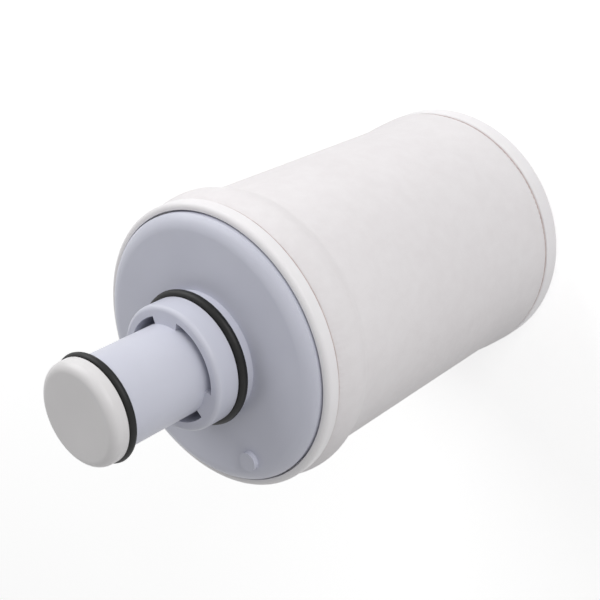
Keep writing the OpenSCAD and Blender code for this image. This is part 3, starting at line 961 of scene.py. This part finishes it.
cover = grown("soft_cover_sleeve", sleeve_tree(), Radius=body_r, Low=seam_low, High=seam_high,
              Wall=cover_wall, Flare=rim_flare, Flare_length=flare_length,
              Near_bulge=NEAR_BULGE, Far_bulge=FAR_BULGE, Tuck=TUCK, Tuck_length=TUCK_LENGTH,
              Hill=HILL, Dimple=DIMPLE, Gather=GATHER,
              Lap_height=0.2 * MM, Lap_width=LAP_WIDTH, Lap_direction=LAP_DIRECTION,
              Around=640, Along=100, Edge=4, Inside=8, Gathers=150, Seed=3, Finish=cover_cloth)


def outward(piece):
    """Points the faces of a closed mesh outwards and shades it smooth."""
    shape = bmesh.new()
    shape.from_mesh(piece.data)
    bmesh.ops.recalc_face_normals(shape, faces=shape.faces)
    open_edges = sum(1 for edge in shape.edges if not edge.is_manifold)
    shape.to_mesh(piece.data)
    shape.free()
    piece.data.shade_smooth()
    print(piece.name, "has", len(piece.data.polygons), "faces and", open_edges, "open edges")


outward(cover)
dress(cover, cover_cloth, "cover_cloth", "soft_cover")

# %% [markdown]
# ## Glue beads
# A line of pinkish glue closes the seam between the cover's edge and each cap. It was squeezed
# out and wiped, so it isn't even. The tree bends a grid into a ring with a rounded square
# section and lets the glue swell and wander a little as it goes round.

# %% Glue beads
def bead_tree():
    """A ring with a rounded square section that swells and wanders slightly."""
    sizes = ("Radius", "Height", "Half width", "Half thickness", "Swell")
    tree, size = start_tree("glue bead", sizes, ("Around", "Section", "Seed"))
    grid = tree.nodes.new("GeometryNodeMeshGrid")
    tree.links.new((size["Around"] + 1).socket, grid.inputs["Vertices X"])
    tree.links.new((size["Section"] + 1).socket, grid.inputs["Vertices Y"])
    around, across = grid_shares(tree)
    angle = around * (2 * math.pi)
    wide = angle.step("COSINE")
    deep = angle.step("SINE")

    def rounded(wave):
        return wave * (wave.step("ABSOLUTE") + 0.001).step("POWER", -0.45)

    out = rounded((across * (2 * math.pi)).step("COSINE"))
    up = rounded((across * (2 * math.pi)).step("SINE"))
    seed = size["Seed"] * 1.0
    swell = field_noise(tree, wide * 0.06, deep * 0.06, seed, 90.0, 3.0) * size["Swell"]
    radius = size["Radius"] + out * (size["Half width"] + swell.step("MINIMUM", 0.0))
    z = size["Height"] + up * size["Half thickness"]
    ring = set_place(tree, grid.outputs["Mesh"], radius * wide, radius * deep, z)
    joined = add_node(tree, "GeometryNodeMergeByDistance", {"Geometry": ring, "Distance": 0.000001})
    end_tree(tree, joined.outputs[0], size)
    return tree


def bead_glue_finish():
    """Dull pinkish glue with an uneven tone and small bubbles."""
    material, tree, shader = new_finish("bead_glue", 0.5, IOR=1.45)
    place = object_place(tree)
    tone = spread(tree, noise(tree, place, 240, detail=5), 0.35, 0.65, 0, 1)
    tint(tree, shader, two_tones(tree, tone, (0.50, 0.40, 0.39), (0.62, 0.53, 0.52)))
    raise_bump(tree, shader, noise(tree, place, 900, detail=4), 0.08 * MM, 0.7)
    return material


bead_glue = bead_glue_finish()
squeeze = bead_tree()
beads = (("far_seam_bead", "far_glue_line", 1), ("near_seam_bead", "near_glue_line", 2))
inner = rim_r - cover_wall
for node, name, seed in beads:
    low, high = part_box(node)
    crest = high.x - bead_drop
    bead = grown(name, squeeze, Radius=(inner + crest) / 2, Height=(low.z + high.z) / 2,
                 Half_width=(crest - inner) / 2, Half_thickness=(high.z - low.z) / 2,
                 Swell=0.3 * MM, Around=720, Section=16, Seed=seed, Finish=bead_glue)
    outward(bead)
    dress(bead, bead_glue, "bead_glue", node)
    print(name, "reaches", round(max(v.co.x for v in bead.data.vertices) / MM, 2), "mm from the axis")

# %% [markdown]
# ## Copper winding
# Behind the closed tip a coil takes power from the dock. Its outside shows turn beside turn of
# enamelled wire. Geometry Nodes wind it the way a machine does: one spiral for each layer that
# can be seen, swept with a round profile. A plain ring fills the middle, which nothing shows.

# %% Copper winding
WIRE = 0.8 * MM
SPIRAL_STEPS = 48


def winding_tree():
    """Round wire in an outer, an inner, a top and a bottom layer."""
    sizes = ("Inner radius", "Outer radius", "Low", "High", "Wire")
    tree, size = start_tree("winding", sizes, ("Turns up", "Turns across"))
    profile = add_node(tree, "GeometryNodeCurvePrimitiveCircle", {"Resolution": 8})
    half_wire = size["Wire"] * 0.5
    tree.links.new(half_wire.socket, profile.inputs["Radius"])
    joined = tree.nodes.new("GeometryNodeJoinGeometry")

    def layer(start, end, low, height, turns):
        inputs = {"Resolution": SPIRAL_STEPS, "Rotations": turns.socket, "Start Radius": start.socket,
                  "End Radius": end.socket, "Height": height.socket}
        spiral = add_node(tree, "GeometryNodeCurveSpiral", inputs)
        inputs = {"Curve": spiral.outputs[0], "Profile Curve": profile.outputs[0], "Fill Caps": True}
        wire = add_node(tree, "GeometryNodeCurveToMesh", inputs)
        lift = add_node(tree, "ShaderNodeCombineXYZ", {"Z": low.socket})
        inputs = {"Geometry": wire.outputs[0], "Translation": lift.outputs[0]}
        placed = add_node(tree, "GeometryNodeTransform", inputs)
        tree.links.new(placed.outputs[0], joined.inputs[0])

    inner = size["Inner radius"] + half_wire
    outer = size["Outer radius"] - half_wire
    low = size["Low"] + half_wire
    tall = size["High"] - size["Low"] - size["Wire"]
    flat = size["Wire"] * 0.0
    layer(outer, outer, low, tall, size["Turns up"])
    layer(inner, inner, low, tall, size["Turns up"])
    layer(inner, outer, low, flat, size["Turns across"])
    layer(inner, outer, low + tall, flat, size["Turns across"])
    end_tree(tree, joined.outputs[0], size)
    return tree


def join_mesh(piece, other):
    """Adds the other piece's mesh to the piece and removes the other piece."""
    shape = bmesh.new()
    shape.from_mesh(piece.data)
    shape.from_mesh(other.data)
    shape.to_mesh(piece.data)
    shape.free()
    bpy.data.objects.remove(other)


def copper_finish():
    """Enamelled copper: warm metal under a thin amber coat that varies a little."""
    material, tree, shader = new_finish("copper_wire", 0.3, Metallic=1.0, Coat_Weight=0.4)
    place = object_place(tree)
    tone = spread(tree, noise(tree, place, 500, detail=3), 0.35, 0.65, 0, 1)
    tint(tree, shader, two_tones(tree, tone, (0.52, 0.20, 0.07), (0.72, 0.33, 0.15)))
    gloss = spread(tree, noise(tree, place, 1400, detail=4), 0.3, 0.7, 0.22, 0.38)
    tree.links.new(gloss, shader.inputs["Roughness"])
    raise_bump(tree, shader, noise(tree, place, 2500), 0.01 * MM, 0.5)
    return material


copper_wire = copper_finish()
coil_low, coil_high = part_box("power_coil")
coil_in_r = 6.1 * MM
winding = grown("copper_winding", winding_tree(), Inner_radius=coil_in_r, Outer_radius=coil_high.x,
                Low=coil_low.z, High=coil_high.z, Wire=WIRE,
                Turns_up=int((coil_high.z - coil_low.z) / WIRE) - 1,
                Turns_across=int((coil_high.x - coil_in_r) / WIRE) - 1, Finish=copper_wire)
core_in_r, core_out_r = coil_in_r + WIRE / 2, coil_high.x - WIRE / 2
core_low, core_high = coil_low.z + WIRE / 2, coil_high.z - WIRE / 2
core_outline = [(core_in_r, core_low), (core_out_r, core_low)]
core_outline += [(core_out_r, core_high), (core_in_r, core_high)]
join_mesh(winding, turned("winding_core", core_outline, 96))
outward(winding)
dress(winding, copper_wire, "copper_wire", "power_coil")

# %% [markdown]
# ## Finishes of the inner pieces
# The pieces inside keep the CAD model's own meshes, and only their material slots change. Each
# finish has what the real one shows when the cartridge is cut open: fibres in the felt, grains in
# the carbon, bubbles in the glue, draw lines on wire and a weave under the board's green lacquer.

# %% Assigning a finish to CAD nodes
def refinish(finish, *names):
    """Puts a finish on the material slots of CAD nodes."""
    for name in names:
        for material_slot in nodes[name].material_slots:
            material_slot.material = finish
    print(finish.name, "is on", ", ".join(names))


refinish(copper_wire, "socket_leads", "coil_leads")
refinish(cap_plastic, "core_tube", "seal_retainer")
refinish(seal_rubber, "sleeve_seal")
silicone = soft_rubber("cushion_rubber", (0.24, 0.24, 0.24), (0.30, 0.30, 0.30))
refinish(silicone, "sleeve_foot", "far_cushion", "near_cushion")

# %% [markdown]
# Felt is tangled fibre, so the same bent web as the cover's does, only coarser and deeper. The
# carbon block is pressed from grains under a millimetre across: Voronoi cells give each grain its
# own grey, and the distance to the cell's edge rounds it.

# %% Felt and carbon
def felt_finish():
    """White felt with a coarse tangle of fibres."""
    material, tree, shader = new_finish("felt", 0.95, Specular_IOR_Level=0.2, Sheen_Weight=0.2)
    place = object_place(tree)
    cloud = spread(tree, noise(tree, place, 220, detail=6, roughness=0.7), 0.3, 0.7, 0, 1)
    tint(tree, shader, two_tones(tree, cloud, (0.72, 0.72, 0.69), (0.84, 0.84, 0.81)))
    tangle = calculate(tree, "MAXIMUM", fibre_web(tree, place, 600, 0.25), cloud)
    raise_bump(tree, shader, tangle, 0.15 * MM, 0.8)
    return material


def carbon_finish():
    """Pressed carbon: rounded black grains of slightly different grey, some with a glint."""
    material, tree, shader = new_finish("carbon", 0.8, Specular_IOR_Level=0.4)
    place = object_place(tree)
    grains = add_node(tree, "ShaderNodeTexVoronoi", {"Vector": place, "Scale": 1500})
    own = add_node(tree, "ShaderNodeSeparateColor", {0: grains.outputs["Color"]}).outputs
    tint(tree, shader, two_tones(tree, own["Red"], (0.012, 0.012, 0.013), (0.05, 0.05, 0.052)))
    tree.links.new(spread(tree, own["Green"], 0.8, 1.0, 0.85, 0.4), shader.inputs["Roughness"])
    rounded = calculate(tree, "SUBTRACT", 1.0, grains.outputs["Distance"])
    raise_bump(tree, shader, rounded, 0.3 * MM, 0.8)
    return material


refinish(felt_finish(), "felt_wrap")
refinish(carbon_finish(), "carbon_block")

# %% Glue layers with trapped bubbles
def pad_glue_finish():
    """Cream glue that was poured: slow waves, a drift of tone and small bubbles."""
    material, tree, shader = new_finish("pad_glue", 0.35, IOR=1.5, Subsurface_Weight=0.1)
    place = object_place(tree)
    drift = spread(tree, noise(tree, place, 60, detail=4), 0.35, 0.65, 0, 1)
    tint(tree, shader, two_tones(tree, drift, (0.66, 0.60, 0.46), (0.74, 0.69, 0.56)))
    cells = add_node(tree, "ShaderNodeTexVoronoi", {"Vector": place, "Scale": 420})
    bubbles = spread(tree, cells.outputs["Distance"], 0.12, 0.2, 0, 1)
    waves = raise_bump(tree, shader, drift, 0.3 * MM, 0.5)
    raise_bump(tree, shader, bubbles, 0.15 * MM, 0.7, below=waves)
    return material


refinish(pad_glue_finish(), "far_glue", "near_glue")

# %% [markdown]
# Quartz is drawn as a tube, which leaves very faint lines along it. A clear shader with those
# lines in its bump and a trace of dust in its gloss is enough. The metals differ only in tone,
# in gloss and in the way their lines run, so one function makes all three.

# %% Glass and metals
def clear_glass_finish():
    """Clear quartz with faint draw lines."""
    material, tree, shader = new_finish("clear_glass", 0.03, IOR=1.46, Transmission_Weight=1.0)
    lines = noise(tree, object_place(tree, stretch=(1, 1, 0.02)), 900, detail=3)
    dust = spread(tree, noise(tree, object_place(tree), 300, detail=5), 0.4, 0.8, 0.02, 0.12)
    tree.links.new(dust, shader.inputs["Roughness"])
    tint(tree, shader, two_tones(tree, lines, (0.93, 0.96, 0.97), (0.98, 0.99, 1.0)))
    raise_bump(tree, shader, lines, 0.02 * MM, 0.4)
    return material


def metal_finish(name, dark, light, roughness, stretch):
    """Bare metal with fine tool lines: the stretch squeezes the pattern along one way."""
    material, tree, shader = new_finish(name, roughness, Metallic=1.0)
    lines = noise(tree, object_place(tree, stretch=stretch), 2200, detail=4)
    stain = spread(tree, noise(tree, object_place(tree), 180, detail=5), 0.35, 0.65, 0, 1)
    tint(tree, shader, two_tones(tree, stain, dark, light))
    gloss = spread(tree, lines, 0.3, 0.7, roughness - 0.08, roughness + 0.08)
    tree.links.new(gloss, shader.inputs["Roughness"])
    raise_bump(tree, shader, lines, 0.02 * MM, 0.6)
    return material


refinish(clear_glass_finish(), "quartz_sleeve", "lamp_glass")
turned_lines = (0.05, 0.05, 1)
drawn_lines = (1, 1, 0.03)
cap_metal = metal_finish("cap_metal", (0.66, 0.66, 0.67), (0.78, 0.78, 0.79), 0.35, turned_lines)
refinish(cap_metal, "far_lamp_cap", "near_lamp_cap")
pin_metal = metal_finish("pin_metal", (0.66, 0.50, 0.24), (0.80, 0.64, 0.34), 0.28, turned_lines)
refinish(pin_metal, "lamp_pins")
steel_wire = metal_finish("steel_wire", (0.48, 0.48, 0.49), (0.60, 0.60, 0.61), 0.3, drawn_lines)
refinish(steel_wire, "lamp_electrodes")

# %% [markdown]
# White sleeving is braided: two waves that cross give the threads. The board is woven glass under
# green lacquer, with copper tracks that stand up a few hundredths of a millimetre. The capacitors
# wear a shrunk plastic sleeve that is glossy and slightly wavy.

# %% Sleeving, board and capacitors
def crossed_waves(tree, place, per_metre):
    """Two crossing sets of threads, from 0 to 1."""
    waves = []
    for turn in (math.radians(35), math.radians(-35)):
        turned_place = add_node(tree, "ShaderNodeMapping", {"Vector": place, "Rotation": (turn, turn, 0)})
        inputs = {"Vector": turned_place.outputs[0], "Scale": per_metre, "Distortion": 0.3}
        waves.append(add_node(tree, "ShaderNodeTexWave", inputs, bands_direction="Z").outputs["Fac"])
    return calculate(tree, "MAXIMUM", *waves)


def sleeving_finish():
    """White braided sleeving."""
    material, tree, shader = new_finish("wire_sleeve", 0.7, Specular_IOR_Level=0.35)
    place = object_place(tree)
    threads = crossed_waves(tree, place, 700)
    tint(tree, shader, two_tones(tree, threads, (0.66, 0.66, 0.62), (0.80, 0.80, 0.77)))
    raise_bump(tree, shader, threads, 0.06 * MM, 0.7)
    return material


def board_finish():
    """Green lacquered laminate with raised tracks and a woven ground."""
    material, tree, shader = new_finish("board", 0.3, IOR=1.5, Coat_Weight=0.5)
    place = object_place(tree)
    bricks = add_node(tree, "ShaderNodeTexBrick", {"Vector": place, "Scale": 120, "Mortar Size": 0.05})
    tracks = spread(tree, bricks.outputs["Fac"], 0.4, 0.6, 0, 1)
    weave = crossed_waves(tree, place, 900)
    ground = two_tones(tree, weave, (0.010, 0.075, 0.025), (0.014, 0.095, 0.032))
    tint(tree, shader, mix_colours(tree, tracks, ground, (0.03, 0.16, 0.06, 1)))
    woven = raise_bump(tree, shader, weave, 0.01 * MM, 0.5)
    raise_bump(tree, shader, tracks, 0.04 * MM, 0.8, below=woven)
    return material


def capacitor_finish():
    """Dark blue shrunk sleeve, glossy and slightly wavy."""
    material, tree, shader = new_finish("capacitor_can", 0.22, IOR=1.5)
    place = object_place(tree)
    drift = spread(tree, noise(tree, place, 120, detail=3), 0.35, 0.65, 0, 1)
    tint(tree, shader, two_tones(tree, drift, (0.006, 0.008, 0.035), (0.012, 0.015, 0.055)))
    raise_bump(tree, shader, noise(tree, place, 300), 0.05 * MM, 0.5)
    return material


refinish(sleeving_finish(), "return_wires", "lamp_socket", "coil_bobbin")
refinish(board_finish(), "circuit_board")
refinish(capacitor_finish(), "board_capacitors")
